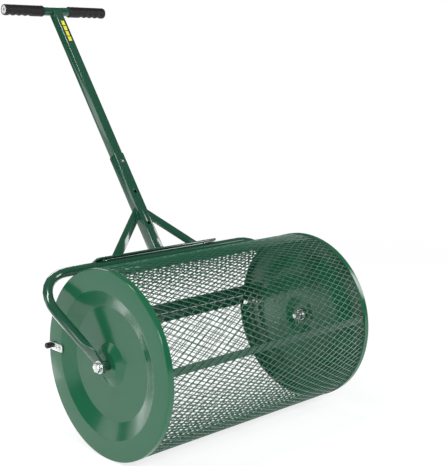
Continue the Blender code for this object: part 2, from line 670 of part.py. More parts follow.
for side_name, side_sign in SIDES:
    latch_x = FACE_X + LATCH_OFF + LATCH_THICK / 2
    holes = [arc((reach, 0), LATCH_RIVET_R + GAP, 0, 330, 11) for reach in LATCH_RIVETS]
    clip = plate("latch_" + side_name, [latch_outline()] + holes, LATCH_THICK)
    turn = Matrix.Rotation(math.radians(180 - DOOR_FREE_BAR_AT), 4, "X")
    lie = in_disc_plane(side_sign * latch_x)
    placed(clip, clip.name, ZINC, DRUM, Matrix.Translation(ORIGIN) @ turn
           @ Matrix.Translation(-ORIGIN) @ lie)
    head_in = FACE_X + LATCH_OFF + LATCH_THICK + GAP
    sheet_in = FACE_X - DISC_SHEET - GAP
    profile = [(0.0, head_in + 0.0016), (0.0025, head_in + 0.0014), (0.0042, head_in + 0.0005),
               (0.0042, head_in), (LATCH_RIVET_R, head_in), (LATCH_RIVET_R, sheet_in),
               (0.0040, sheet_in), (0.0036, sheet_in - 0.0012), (0.0, sheet_in - 0.0014)]
    for i, reach in enumerate(LATCH_RIVETS):
        rivet = turned(f"latch_rivet_{side_name}_{i + 1}", profile, 16)
        placed(rivet, rivet.name, ZINC, DRUM, across_disc(reach, side_sign, 0.0))


# ---------------------------------------------------------------- yoke
def yoke_path():
    """Stations of one arm and half the cross tube: (x, reach, half thickness, half width)."""
    flat_b, flat_a = ARM_FLAT_THICK / 2, ARM_FLAT_WIDE / 2
    lean = math.radians(YOKE_SPREAD)
    stations = []
    for i in range(5):
        t = i / 4 * math.pi / 2 * 0.96 + 0.06
        stations.append((ARM_X, -flat_a * math.cos(t), flat_b, flat_a * math.sin(t)))
    stations.append((ARM_X, ARM_FLAT_REACH * 0.6, flat_b, flat_a))
    corner_x = ARM_X + (YOKE_REACH - ARM_FLAT_REACH) * math.tan(lean)
    turn = math.pi / 2 + lean
    tangent = YOKE_BEND * math.tan(turn / 2)
    start_x = corner_x - tangent * math.sin(lean)
    start_v = YOKE_REACH - tangent * math.cos(lean)
    for i, share in enumerate((0.0, 0.25, 0.5, 0.75, 1.0)):
        v = ARM_FLAT_REACH + share * 0.040
        ease = share * share * (3 - 2 * share)
        stations.append((ARM_X + (v - ARM_FLAT_REACH) * math.tan(lean), v,
                         flat_b + (TUBE_R - flat_b) * ease, flat_a + (TUBE_R - flat_a) * ease))
    centre = (start_x - YOKE_BEND * math.cos(lean), start_v + YOKE_BEND * math.sin(lean))
    for i in range(9):
        t = -lean + turn * i / 8
        stations.append((centre[0] + YOKE_BEND * math.cos(t), centre[1] + YOKE_BEND * math.sin(t),
                         TUBE_R, TUBE_R))
    stations.append((0.0, YOKE_REACH, TUBE_R, TUBE_R))
    return stations


def loft(name, stations, sides=16):
    """Skin a row of elliptical sections that follow a flat path, both ends closed."""
    angle = math.radians(YOKE_ANGLE)
    up = Vector((0, -math.cos(angle), math.sin(angle)))
    across = Vector((1, 0, 0))
    normal = across.cross(up)
    form = bmesh.new()
    rings = []
    for i, (x, v, thick, wide) in enumerate(stations):
        before, after = stations[max(i - 1, 0)], stations[min(i + 1, len(stations) - 1)]
        along = (across * (after[0] - before[0]) + up * (after[1] - before[1])).normalized()
        side = along.cross(normal)
        centre = across * x + up * v
        rings.append([form.verts.new(centre + side * thick * math.cos(k * math.tau / sides)
                                     + normal * wide * math.sin(k * math.tau / sides))
                      for k in range(sides)])
    for a, b in zip(rings, rings[1:]):
        for k in range(sides):
            form.faces.new((a[k], a[(k + 1) % sides], b[(k + 1) % sides], b[k]))
    form.faces.new(rings[0])
    form.faces.new(rings[-1])
    bmesh.ops.recalc_face_normals(form, faces=form.faces)
    obj = from_bmesh(name, form)
    obj.data.shade_smooth()
    obj.data.set_sharp_from_angle(angle=math.radians(45))
    return obj


def both_arms(half):
    return half + [(-x, v, thick, wide) for x, v, thick, wide in reversed(half[:-1])]


def yoke():
    half = yoke_path()
    tube = loft("yoke_tube", both_arms(half))
    placed(tube, tube.name, DARK_GREEN_PAINT, FRAME, Matrix.Translation(ORIGIN))
    hollow = [(x, v, thick - TUBE_WALL, wide - TUBE_WALL) for x, v, thick, wide in half[8:]]
    combined(tube, as_cutter(loft("yoke_hollow", both_arms(hollow)), Matrix.Translation(ORIGIN)),
             "DIFFERENCE")
    for side, sign in SIDES:
        hole = rod("yoke_hole_" + side, AXLE_BOLT_R + GAP, 0.03, 20)
        combined(tube, as_cutter(hole, along_x(ARM_X, sign)), "DIFFERENCE")
        bolt_hole = rod("yoke_bolt_hole_" + side, BRIDGE_BOLT_R + GAP, 0.06, 12)
        combined(tube, as_cutter(bolt_hole, on_handle(-0.02, 0.0, sign * BRIDGE_BOLT_AT)),
                 "DIFFERENCE")
    return tube


yoke()


# ---------------------------------------------------------------- bridge plate and its bolts
def bridge():
    half_long, half_wide, corner = PLATE_LONG / 2, PLATE_WIDE / 2, 0.006
    outline = []
    for x, y, start in ((1, 1, 0), (-1, 1, 90), (-1, -1, 180), (1, -1, 270)):
        outline += arc((x * (half_long - corner), y * (half_wide - corner)), corner, start,
                       start + 90, 3)
    holes = [arc((sign * BRIDGE_BOLT_AT, 0), BRIDGE_BOLT_R + GAP, 0, 330, 11) for _, sign in SIDES]
    bar = plate("bridge_plate", [outline] + holes, PLATE_THICK)
    placed(bar, bar.name, DARK_GREEN_PAINT, FRAME, on_handle(-GAP - PLATE_THICK / 2))
    under = GAP + PLATE_THICK + GAP + 2 * TUBE_R + GAP
    for side, sign in SIDES:
        length = under + 0.0085
        bolt = rod("bridge_bolt_" + side, BRIDGE_BOLT_R, length + 0.001, 12)
        x = sign * BRIDGE_BOLT_AT
        placed(bolt, bolt.name, ZINC, FRAME, on_handle(-length / 2 + 0.0005, 0.0, x))
        head = rod("bridge_head_" + side, 0.0058, 0.0040, 6)
        combined(bolt, as_cutter(rounded(head, 0.0008), on_handle(0.0020 + GAP / 2, 0.0, x)), "UNION")
        nut = rod("bridge_nut_" + side, 0.0058, 0.0050, 6)
        placed(rounded(nut, 0.0006), nut.name, ZINC, FRAME, on_handle(-under - 0.0025, 0.0, x))
        combined(nut, as_cutter(rod("bridge_nut_bore_" + side, BRIDGE_BOLT_R + GAP, 0.02, 12),
                                on_handle(-under - 0.0025, 0.0, x)), "DIFFERENCE")


bridge()


# ---------------------------------------------------------------- post, braces
def square_tube(name, width, length):
    corner = 0.0025
    tube = plate(name, [rounded_square(width, corner),
                        rounded_square(width - 2 * POST_WALL, corner - POST_WALL)], length)
    return tube


def button_hole(name, reach, depth_from):
    """A cutter through the front wall only."""
    return as_cutter(rod(name, BUTTON_R + GAP, 0.012, 14),
                     on_handle(reach, depth_from, 0.0) @ Matrix.Rotation(math.pi / 2, 4, "X"))


lower = placed(square_tube("lower_post", LOWER_POST, LOWER_POST_LONG), "lower_post",
               DARK_GREEN_PAINT, FRAME, on_handle(LOWER_POST_LONG / 2))
for number in range(HOLE_COUNT):
    combined(lower, button_hole(f"post_hole_{number}", HOLE_FIRST + HOLE_PITCH * number,
                                LOWER_POST / 2), "DIFFERENCE")


def brace(side, sign):
    """A flat bar from the plate up to the post's side, cut square to both."""
    foot = Vector((BRACE_FOOT_AT, 0.0))
    top = Vector((LOWER_POST / 2, BRACE_TOP_AT))
    along = (top - foot).normalized()
    across = Vector((-along.y, along.x)) * (BRACE_WIDE / 2)

    def cut_at(point, axis, value):
        return point + along * ((value - point[axis]) / along[axis])

    low, wall = GAP, LOWER_POST / 2 + GAP
    ends = [cut_at(foot + across, 1, low), cut_at(foot + across, 0, wall),
            cut_at(foot - across, 0, wall), cut_at(foot - across, 1, low)]
    outline = [(sign * p.x, p.y) for p in ends]
    bar = plate("brace_" + side, [outline], BRACE_THICK)
    turn = Matrix.Rotation(math.pi / 2, 4, "X")
    placed(rounded(bar, 0.0005, 1), bar.name, DARK_GREEN_PAINT, FRAME, on_handle(0.0) @ turn)


for side_name, side_sign in SIDES:
    brace(side_name, side_sign)


# ---------------------------------------------------------------- upper handle
def upper_handle():
    start = BUTTON_AT - UPPER_POST_TAIL
    end = HANDLE_LONG - TUBE_R * 0.35
    tube = placed(square_tube("upper_post", UPPER_POST, end - start), "upper_post",
                  DARK_GREEN_PAINT, UPPER, on_handle((start + end) / 2))
    combined(tube, button_hole("upper_hole", BUTTON_AT, UPPER_POST / 2), "DIFFERENCE")
    saddle = as_cutter(rod("t_bar_saddle", TUBE_R + GAP, 0.06, 24),
                       on_handle(HANDLE_LONG) @ Matrix.Rotation(math.pi / 2, 4, "Y"))
    combined(tube, saddle, "DIFFERENCE")
    across = on_handle(HANDLE_LONG) @ Matrix.Rotation(math.pi / 2, 4, "Y")
    placed(ring("t_bar", TUBE_R - TUBE_WALL, TUBE_R, T_BAR_LONG, 24), "t_bar", DARK_GREEN_PAINT,
           UPPER, across)
    for side, sign in SIDES:
        outward = on_handle(HANDLE_LONG) @ Matrix.Rotation(sign * math.pi / 2, 4, "Y")
        end_x = T_BAR_LONG / 2
        bore = TUBE_R + GAP
        lip = 0.0025
        grip_end = end_x + GAP + 0.0012
        profile = [(GRIP_R - 0.0015, grip_end), (GRIP_R, grip_end - 0.0015),
                   (GRIP_R, grip_end - GRIP_LONG + 0.001), (GRIP_R - 0.001, grip_end - GRIP_LONG),
                   (bore, grip_end - GRIP_LONG), (bore, grip_end)]
        placed(turned("grip_" + side, profile), "grip_" + side, GRIP_RUBBER, UPPER, outward)
        stem = TUBE_R - TUBE_WALL - GAP
        head = end_x + GAP
        plug = [(0.0035, head + 0.0010), (TUBE_R - 0.0003, head + 0.0010), (TUBE_R - 0.0003, head),
                (stem, head), (stem, head - 0.010), (0.0035, head - 0.010)]
        placed(turned("bar_plug_" + side, plug), "bar_plug_" + side, GREY_PLASTIC, UPPER, outward)


upper_handle()


# ---------------------------------------------------------------- snap button and its leaf spring
def snap_button():
    tip = LOWER_POST / 2 + BUTTON_PROUD
    dome = 0.0014
    profile = [(0.0, tip), (BUTTON_R * 0.5, tip - dome * 0.25), (BUTTON_R * 0.86, tip - dome * 0.7),
               (BUTTON_R, tip - dome * 1.6), (BUTTON_R, tip - BUTTON_LONG), (0.0, tip - BUTTON_LONG)]
    toward_front = on_handle(BUTTON_AT) @ Matrix.Rotation(math.pi / 2, 4, "X")
    placed(turned("snap_button", profile, 20), "snap_button", ZINC, BUTTON, toward_front)


def snap_spring():
    """A V of spring strip inside the upper tube: one leg behind the button, one on the back wall."""
    thick = 0.0007
    front = LOWER_POST / 2 + BUTTON_PROUD - BUTTON_LONG - GAP
    back = -(UPPER_POST / 2 - POST_WALL - GAP)
    top, bottom = 0.0060, -UPPER_POST_TAIL + 0.004
    outline = [(front, top), (front, -0.0060), (back + 0.0022, bottom), (back, bottom),
               (back, -0.002), (back + thick, -0.002), (back + thick, bottom + thick * 1.2),
               (front - thick, -0.0060 + thick * 0.3), (front - thick, top)]
    strip = plate("snap_spring", [outline], 0.0090)
    # outline X is towards the front, Y up the post
    lie = Matrix(((0, 0, 1, 0), (-1, 0, 0, 0), (0, 1, 0, 0), (0, 0, 0, 1)))
    placed(strip, strip.name, ZINC, UPPER, on_handle(BUTTON_AT) @ lie)


snap_button()
snap_spring()
bpy.context.view_layer.update()
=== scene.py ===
import json
import math

import bmesh
import bpy
from mathutils import Matrix, Vector


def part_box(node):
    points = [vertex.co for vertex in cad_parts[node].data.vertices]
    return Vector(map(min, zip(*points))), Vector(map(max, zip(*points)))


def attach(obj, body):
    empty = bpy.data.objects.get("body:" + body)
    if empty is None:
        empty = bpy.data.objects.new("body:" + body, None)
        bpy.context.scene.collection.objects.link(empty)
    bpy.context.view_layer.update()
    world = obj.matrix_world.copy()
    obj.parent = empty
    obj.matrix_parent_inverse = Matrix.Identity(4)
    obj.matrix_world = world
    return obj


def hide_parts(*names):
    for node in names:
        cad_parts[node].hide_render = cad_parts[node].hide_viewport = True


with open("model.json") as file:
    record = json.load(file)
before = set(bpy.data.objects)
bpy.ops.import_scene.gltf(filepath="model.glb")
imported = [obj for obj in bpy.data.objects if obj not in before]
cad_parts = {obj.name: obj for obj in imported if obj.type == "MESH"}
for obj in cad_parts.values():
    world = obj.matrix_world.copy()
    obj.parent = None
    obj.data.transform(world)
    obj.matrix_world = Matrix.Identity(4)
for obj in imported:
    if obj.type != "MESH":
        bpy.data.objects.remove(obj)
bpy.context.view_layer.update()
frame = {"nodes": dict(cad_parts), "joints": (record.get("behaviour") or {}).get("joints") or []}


# ---------------------------------------------------------------- end discs
# Drawn from sheet steel: a flat band inside the rim, a sloped wall down to a sunk pan, a raised
# hub, and the rim turned in as a flange. A gloss green powder coat covers them: smooth, with a
# faint waviness that softens its wide highlights. Their green is painted lighter than the same
# coat on the tubes, as painted light where the discs face the lamps.
def colour(hex_code):
    """sRGB hex to linear."""
    parts = [int(hex_code[i:i + 2], 16) / 255 for i in (1, 3, 5)]
    return (*[c / 12.92 if c <= 0.04045 else ((c + 0.055) / 1.055) ** 2.4 for c in parts], 1.0)


def add(tree, kind, wires=(), **settings):
    """A node with its settings, and its inputs wired from a socket or set to a value."""
    node = tree.nodes.new(kind)
    for key, value in settings.items():
        if hasattr(node, key):
            setattr(node, key, value)
        else:
            node.inputs[key.replace("_", " ")].default_value = value
    for source, key in wires:
        if isinstance(source, bpy.types.NodeSocket):
            tree.links.new(source, node.inputs[key])
        else:
            node.inputs[key].default_value = source
    return node


def finish(name, hex_code, roughness, metallic=0.0, coat=0.0, relief=0.0, relief_mm=1.0,
           relief_deep=0.0004, uneven=0.0, drift_mm=71.4):
    """A surface with a fine relief of one pitch, and a gloss that drifts slowly across it."""
    mat = bpy.data.materials.new(name)
    mat.use_nodes = True
    tree = mat.node_tree
    shader = tree.nodes["Principled BSDF"]
    shader.inputs["Base Color"].default_value = colour(hex_code)
    shader.inputs["Roughness"].default_value = roughness
    shader.inputs["Metallic"].default_value = metallic
    shader.inputs["Coat Weight"].default_value = coat
    shader.inputs["Coat Roughness"].default_value = 0.06
    shader.inputs["Specular IOR Level"].default_value = 0.38
    place = add(tree, "ShaderNodeTexCoord")
    if relief:
        noise = add(tree, "ShaderNodeTexNoise", [(place.outputs["Object"], "Vector")],
                    Scale=1000 / relief_mm, Detail=3.0)
        bump = add(tree, "ShaderNodeBump", [(noise.outputs["Fac"], "Height")],
                   Strength=relief, Distance=relief_deep)
        tree.links.new(bump.outputs["Normal"], shader.inputs["Normal"])
    if uneven:
        cloud = add(tree, "ShaderNodeTexNoise", [(place.outputs["Object"], "Vector")],
                    Scale=1000 / drift_mm, Detail=4.0)
        spread = add(tree, "ShaderNodeMapRange", [(cloud.outputs["Fac"], "Value")],
                     To_Min=roughness - uneven, To_Max=roughness + uneven)
        tree.links.new(spread.outputs["Result"], shader.inputs["Roughness"])
    return mat


def link(name, form, material=None):
    """The finished bmesh as an object of the scene."""
    mesh = bpy.data.meshes.new(name)
    form.to_mesh(mesh)
    form.free()
    if material:
        mesh.materials.append(material)
    obj = bpy.data.objects.new(name, mesh)
    bpy.context.scene.collection.objects.link(obj)
    return obj


def skin(form, rings):
    """Quads between each ring of points and the next."""
    for a, b in zip(rings, rings[1:]):
        for k in range(len(a)):
            after = (k + 1) % len(a)
            form.faces.new((a[k], a[after], b[after], b[k]))


def middle(node):
    low, high = (Vector(corner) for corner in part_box(node))
    return (low + high) / 2


def softened(corners):
    """Corners given as (radius from the axle, x, bend radius), each bend drawn as an arc."""
    points = []
    steps = 6
    for i, (r, x, bend) in enumerate(corners):
        here = Vector((r, x))
        if bend == 0.0:
            points.append(here)
            continue
        back = (Vector(corners[i - 1][:2]) - here).normalized()
        ahead = (Vector(corners[i + 1][:2]) - here).normalized()
        cut = bend * math.tan((math.pi - back.angle(ahead)) / 2)
        start, end = here + back * cut, here + ahead * cut
        for t in (k / steps for k in range(steps + 1)):
            points.append(start * (1 - t) ** 2 + here * 2 * t * (1 - t) + end * t * t)
    return points


SHEET = 0.0012
PAN_DEPTH, HUB_DEPTH = 0.0150, 0.0065     # below the flat band
HUB_HOLE_R, HUB_TOP_R, HUB_FOOT_R = 0.0108, 0.0280, 0.0460
PAN_R, BAND_R = 0.1200, 0.1565            # the sloped wall lies between these
HUB_BEND, WALL_BEND, RIM_BEND = 0.004, 0.006, 0.003
FLANGE = 0.0140
DISC_STEPS = 144
axle = middle("end_disc_right")
# A lighter copy of the one green coat: painted light where the discs face the lamps.
gloss_coat_painted_lighter = finish("gloss green powder coat", "#185A3C", 0.18, coat=0.14, relief=0.02,
                    relief_mm=3.85, uneven=0.05)


def pressed_disc(side, sign):
    low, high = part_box("end_disc_" + side)
    rim = (high[2] - low[2]) / 2
    face = max(abs(low[0]), abs(high[0]))
    pan, hub = face - PAN_DEPTH, face - HUB_DEPTH
    outer = softened([(HUB_HOLE_R, hub, 0.0), (HUB_TOP_R, hub, HUB_BEND),
                      (HUB_FOOT_R, pan, WALL_BEND), (PAN_R, pan, WALL_BEND),
                      (BAND_R, face, WALL_BEND), (rim, face, RIM_BEND), (rim, face - FLANGE, 0.0)])
    inner = []
    for i, point in enumerate(outer):
        before, after = outer[max(i - 1, 0)], outer[min(i + 1, len(outer) - 1)]
        along = (after - before).normalized()
        inner.append(point + Vector((along.y, -along.x)) * SHEET)
    inner[0] = outer[0] - Vector((0.0, SHEET))
    inner[-1] = outer[-1] - Vector((SHEET, 0.0))
    form = bmesh.new()
    rings = []
    for r, x in outer + inner[::-1]:
        turns = [math.tau * k / DISC_STEPS for k in range(DISC_STEPS)]
        rings.append([form.verts.new((sign * x, axle.y - r * math.cos(turn),
                                      axle.z + r * math.sin(turn))) for turn in turns])
    skin(form, rings + rings[:1])
    bmesh.ops.recalc_face_normals(form, faces=form.faces)
    disc = link("pressed_disc_" + side, form, gloss_coat_painted_lighter)
    cut_notch(disc, side)
    disc.data.shade_smooth()
    disc.data.set_sharp_from_angle(angle=math.radians(38))
    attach(disc, "drum")
    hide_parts("end_disc_" + side)


def cut_notch(disc, side):
    """The open slot in the rim by which the door's end pin leaves, square to the pin's radius."""
    seat = middle("door_pin_cap_" + side)
    hinge = middle("hinge_pin_2")
    hinge.x = seat.x
    arm = (seat - hinge).normalized()
    leave = arm.cross(Vector((1, 0, 0)))
    through, long, wide = 0.05, 0.030, 0.0070
    form = bmesh.new()
    bmesh.ops.create_cube(form, size=1.0)
    bmesh.ops.scale(form, vec=(through, long, wide), verts=form.verts)
    turn = Matrix(((1, 0, 0), leave, arm)).transposed().to_4x4()
    place = Matrix.Translation(seat + leave * long / 2)
    bmesh.ops.transform(form, matrix=place @ turn, verts=form.verts)
    cutter = link("notch", form)
    cut = disc.modifiers.new("notch", "BOOLEAN")
    cut.object = cutter
    cut.solver = "EXACT"
    bpy.context.view_layer.update()
    shape = disc.evaluated_get(bpy.context.evaluated_depsgraph_get())
    cut_mesh = bpy.data.meshes.new_from_object(shape)
    disc.modifiers.clear()
    disc.data = cut_mesh
    bpy.data.objects.remove(cutter, do_unlink=True)


pressed_disc("left", -1)
pressed_disc("right", 1)


# ---------------------------------------------------------------- expanded metal
# Slit and stretched sheet, rolled and powder coated: rows of zigzag strands that meet at their
# points. One sheet wraps the drum's body and a shorter one the door. The glossy coat gives each
# strand a bright line of its own. Its green is painted lighter than the same coat on the discs
# and tubes, as a painted highlight on the strands.
LONG_WAY, SHORT_WAY = 0.0257, 0.0142      # one diamond, along the axle and round it
STRAND_THICK, STRAND_DEEP = 0.0012, 0.0024
STRAND_LINE_R = 0.1993                    # the strands' centre line
SHEET_R = 0.2003                          # the outside of the sheet, where its rows are counted
ROW_PHASE = 0.0030                        # the first row's distance from the front
# A lighter copy of the one green coat: painted highlight on the strands.
strand_coat_painted_lighter = finish("lightened green powder coat on expanded metal", "#265F47", 0.16, coat=1.0)


def expanded_tree():
    """Flat rows of zigzags, every other one mirrored, then bent round the axle."""
    tree = bpy.data.node_groups.new("expanded metal", "GeometryNodeTree")
    tree.interface.new_socket("Geometry", in_out="INPUT", socket_type="NodeSocketGeometry")
    names = {}
    for kind, labels in (("Float", ("Long way", "Short way", "Strand thickness", "Strand depth",
                                    "Radius", "First row")),
                         ("Int", ("Rows", "Points")), ("Vector", ("Axle",))):
        for label in labels:
            socket = tree.interface.new_socket(label, in_out="INPUT", socket_type="NodeSocket" + kind)
            names[label] = socket.identifier
    tree.interface.new_socket("Geometry", in_out="OUTPUT", socket_type="NodeSocketGeometry")
    given = add(tree, "NodeGroupInput").outputs

    # one strand: points half a diamond apart, alternately a quarter short way down and up
    half_long = add(tree, "ShaderNodeMath", [(given["Long way"], 0), (0.5, 1)], operation="MULTIPLY")
    half_short = add(tree, "ShaderNodeMath", [(given["Short way"], 0), (0.5, 1)],
                     operation="MULTIPLY")
    quarter_down = add(tree, "ShaderNodeMath", [(given["Short way"], 0), (-0.25, 1)],
                       operation="MULTIPLY")
    gaps = add(tree, "ShaderNodeMath", [(given["Points"], 0), (1.0, 1)], operation="SUBTRACT")
    span = add(tree, "ShaderNodeMath", [(gaps.outputs[0], 0), (half_long.outputs[0], 1)],
               operation="MULTIPLY")
    left = add(tree, "ShaderNodeMath", [(span.outputs[0], 0), (-0.5, 1)], operation="MULTIPLY")
    left_end = add(tree, "ShaderNodeCombineXYZ", [(left.outputs[0], "X")])
    along = add(tree, "ShaderNodeCombineXYZ", [(half_long.outputs[0], "X")])
    line = add(tree, "GeometryNodeMeshLine", [(given["Points"], "Count"),
                                              (left_end.outputs[0], "Start Location"),
                                              (along.outputs[0], "Offset")])
    index = add(tree, "GeometryNodeInputIndex")
    odd = add(tree, "ShaderNodeMath", [(index.outputs[0], 0), (2.0, 1)], operation="MODULO")
    height = add(tree, "ShaderNodeMath", [(odd.outputs[0], 0), (half_short.outputs[0], 1),
                                          (quarter_down.outputs[0], 2)], operation="MULTIPLY_ADD")
    step = add(tree, "ShaderNodeCombineXYZ", [(height.outputs[0], "Y")])
    zigzag = add(tree, "GeometryNodeSetPosition", [(line.outputs[0], "Geometry"),
                                                   (step.outputs[0], "Offset")])
    path = add(tree, "GeometryNodeMeshToCurve", [(zigzag.outputs[0], 0)])
    section = add(tree, "GeometryNodeCurvePrimitiveQuadrilateral",
                  [(given["Strand thickness"], "Width"), (given["Strand depth"], "Height")])
    strand = add(tree, "GeometryNodeCurveToMesh", [(path.outputs[0], "Curve"),
                                                   (section.outputs[0], "Profile Curve")],
                 Fill_Caps=True)

    # the rows, half a short way apart
    next_row = add(tree, "ShaderNodeCombineXYZ", [(half_short.outputs[0], "Y")])
    stack = add(tree, "GeometryNodeMeshLine", [(given["Rows"], "Count"),
                                               (next_row.outputs[0], "Offset")])
    row = add(tree, "GeometryNodeInputIndex")
    odd_row = add(tree, "ShaderNodeMath", [(row.outputs[0], 0), (2.0, 1)], operation="MODULO")
    flip = add(tree, "ShaderNodeMath", [(odd_row.outputs[0], 0), (-2.0, 1), (1.0, 2)],
               operation="MULTIPLY_ADD")
    mirrored = add(tree, "ShaderNodeCombineXYZ", [(1.0, "X"), (flip.outputs[0], "Y"), (1.0, "Z")])
    copies = add(tree, "GeometryNodeInstanceOnPoints", [(stack.outputs[0], "Points"),
                                                        (strand.outputs[0], "Instance"),
                                                        (mirrored.outputs[0], "Scale")])
    real = add(tree, "GeometryNodeRealizeInstances", [(copies.outputs[0], 0)])

    # bent round the axle: the flat Y becomes the way round, from the front over the top
    flat = add(tree, "GeometryNodeInputPosition")
    split = add(tree, "ShaderNodeSeparateXYZ", [(flat.outputs[0], 0)])
    centre = add(tree, "ShaderNodeSeparateXYZ", [(given["Axle"], 0)])
    round_way = add(tree, "ShaderNodeMath", [(split.outputs["Y"], 0), (given["First row"], 1)],
                    operation="ADD")
    turn = add(tree, "ShaderNodeMath", [(round_way.outputs[0], 0), (given["Radius"], 1)],
               operation="DIVIDE")
    reach = add(tree, "ShaderNodeMath", [(split.outputs["Z"], 0), (given["Radius"], 1)],
                operation="ADD")
    bent = []
    for wave, sign, middle_at in (("COSINE", -1.0, "Y"), ("SINE", 1.0, "Z")):
        swing = add(tree, "ShaderNodeMath", [(turn.outputs[0], 0)], operation=wave)
        signed = add(tree, "ShaderNodeMath", [(swing.outputs[0], 0), (sign, 1)],
                     operation="MULTIPLY")
        place = add(tree, "ShaderNodeMath", [(signed.outputs[0], 0), (reach.outputs[0], 1),
                                             (centre.outputs[middle_at], 2)],
                    operation="MULTIPLY_ADD")
        bent.append(place.outputs[0])
    spot = add(tree, "ShaderNodeCombineXYZ", [(split.outputs["X"], "X"), (bent[0], "Y"),
                                              (bent[1], "Z")])
    rolled = add(tree, "GeometryNodeSetPosition", [(real.outputs[0], "Geometry"),
                                                   (spot.outputs[0], "Position")])
    coated = add(tree, "GeometryNodeSetMaterial", [(rolled.outputs[0], "Geometry")],
                 Material=strand_coat_painted_lighter)
    add(tree, "NodeGroupOutput", [(coated.outputs[0], 0)])
    return tree, names


def expanded_sheet(name, start_deg, end_deg, diamonds, body, node):
    """A sheet between two angles round the drum, and a whole number of diamonds wide."""
    pitch = SHORT_WAY / 2
    first = math.ceil((math.radians(start_deg) * SHEET_R - ROW_PHASE) / pitch)
    last = math.floor((math.radians(end_deg) * SHEET_R - ROW_PHASE) / pitch)
    first += (first + diamonds) % 2       # so that the two sheets' points line up
    tree, names = expanded_tree()
    base = link(name + " base", bmesh.new())
    build = base.modifiers.new("expand", "NODES")
    build.node_group = tree
    for label, value in (("Long way", LONG_WAY), ("Short way", SHORT_WAY),
                         ("Strand thickness", STRAND_THICK), ("Strand depth", STRAND_DEEP),
                         ("Radius", STRAND_LINE_R), ("First row", (first + 0.5) * pitch + ROW_PHASE),
                         ("Rows", last - first), ("Points", 2 * diamonds + 1), ("Axle", tuple(axle))):
        build[names[label]] = value
    bpy.context.view_layer.update()
    shape = base.evaluated_get(bpy.context.evaluated_depsgraph_get())
    sheet = bpy.data.objects.new(name, bpy.data.meshes.new_from_object(shape))
    bpy.data.objects.remove(base, do_unlink=True)
    bpy.context.scene.collection.objects.link(sheet)
    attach(sheet, body)
    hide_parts(node)


expanded_sheet("expanded_metal_drum", -64.0, 174.4, 23, "drum", "drum_mesh")
expanded_sheet("expanded_metal_door", 176.5, 288.5, 22, "door", "door_mesh")


# ---------------------------------------------------------------- painted steelwork
# Bent tube, square tube, flat bar and folded leaves, cut, welded and powder coated. They keep
# their shape from the frame and gain a fine broken edge. The coat is satin with a hard gloss
# line on every curve. Its green is painted darker than the same coat on the discs, as painted
# shade on the tubes and bars.
def smooth_tree():
    """Smooth shading, kept sharp where an edge turns by more than an angle."""
    tree = bpy.data.node_groups.new("smooth to a sharp edge", "GeometryNodeTree")
    tree.interface.new_socket("Geometry", in_out="INPUT", socket_type="NodeSocketGeometry")
    limit = tree.interface.new_socket("Sharp angle", in_out="INPUT", socket_type="NodeSocketFloat")
    limit.default_value = math.radians(34)
    tree.interface.new_socket("Geometry", in_out="OUTPUT", socket_type="NodeSocketGeometry")
    given = add(tree, "NodeGroupInput").outputs
    angle = add(tree, "GeometryNodeInputMeshEdgeAngle")
    sharp = add(tree, "FunctionNodeCompare", [(angle.outputs["Unsigned Angle"], 0),
                                              (given["Sharp angle"], 1)])
    faces = add(tree, "GeometryNodeSetShadeSmooth", [(given["Geometry"], 0)], domain="FACE")
    edges = add(tree, "GeometryNodeSetShadeSmooth", [(faces.outputs[0], 0), (sharp.outputs[0], 1),
                                                     (False, 2)], domain="EDGE")
    add(tree, "NodeGroupOutput", [(edges.outputs[0], 0)])
    return tree


shading = smooth_tree()


def dress(starts, material, broken_edge=0.0004):
    """Finishes the frame's own pieces whose names begin so."""
    for name, obj in frame["nodes"].items():
        if not name.startswith(starts):
            continue
        weld = obj.modifiers.new("weld", "WELD")
        weld.merge_threshold = 0.00001
        if broken_edge:
            edge = obj.modifiers.new("broken edge", "BEVEL")
            edge.width = broken_edge
            edge.segments = 2
            edge.limit_method = "ANGLE"
            edge.angle_limit = math.radians(50)
            edge.use_clamp_overlap = True
        obj.modifiers.new("shade", "NODES").node_group = shading
        for slot in obj.material_slots:
            slot.material = material


# A darker copy of the one green coat: painted shade on the tubes, bars and weld beads.
satin_coat_painted_darker = finish("satin green powder coat", "#164633", 0.16, coat=0.60, relief=0.04,
                    relief_mm=3.33, uneven=0.04)
dress(("yoke_tube",), satin_coat_painted_darker, broken_edge=0.0)
dress(("bridge_plate", "lower_post", "brace_", "axle_spacer", "upper_post", "t_bar"), satin_coat_painted_darker)
dress(("front_bar", "top_bar", "landing_bar", "hinge_bar", "drum_hinge_leaf"), satin_coat_painted_darker)
dress(("door_free_bar", "door_hinge_bar", "door_side_bar", "door_hinge_leaf"), satin_coat_painted_darker)


# ---------------------------------------------------------------- zinc hardware and clips
# Bolts, nuts, washers, hinge pins, rivets, the spring latches and the snap button, all bright
# zinc plate, which is a little cloudy. The R-clips are bare spring wire with a cleaner shine.
zinc = finish("bright zinc plate", "#C9CBCB", 0.24, metallic=1.0, relief=0.05, relief_mm=1.67,
              uneven=0.08)
spring_wire = finish("bright spring steel wire", "#B9BBBC", 0.20, metallic=1.0)
dress(("axle_bolt", "axle_washer", "axle_nut", "bridge_bolt", "bridge_nut"), zinc)
dress(("latch", "hinge_pin", "snap_"), zinc)
dress(("axle_clip",), spring_wire, broken_edge=0.0)


# ---------------------------------------------------------------- bushes, caps and plugs
# Moulded plastic: the black hub bushes and the caps on the door's end pins have a dull shine,
# and the light grey plugs close the ends of the T-bar.
black_plastic = finish("black moulded plastic", "#121212", 0.40, relief=0.1, relief_mm=2.0)
grey_plastic = finish("light grey moulded plastic", "#B9BABA", 0.45)
dress(("hub_bush", "door_pin_cap"), black_plastic)
dress(("bar_plug",), grey_plastic)


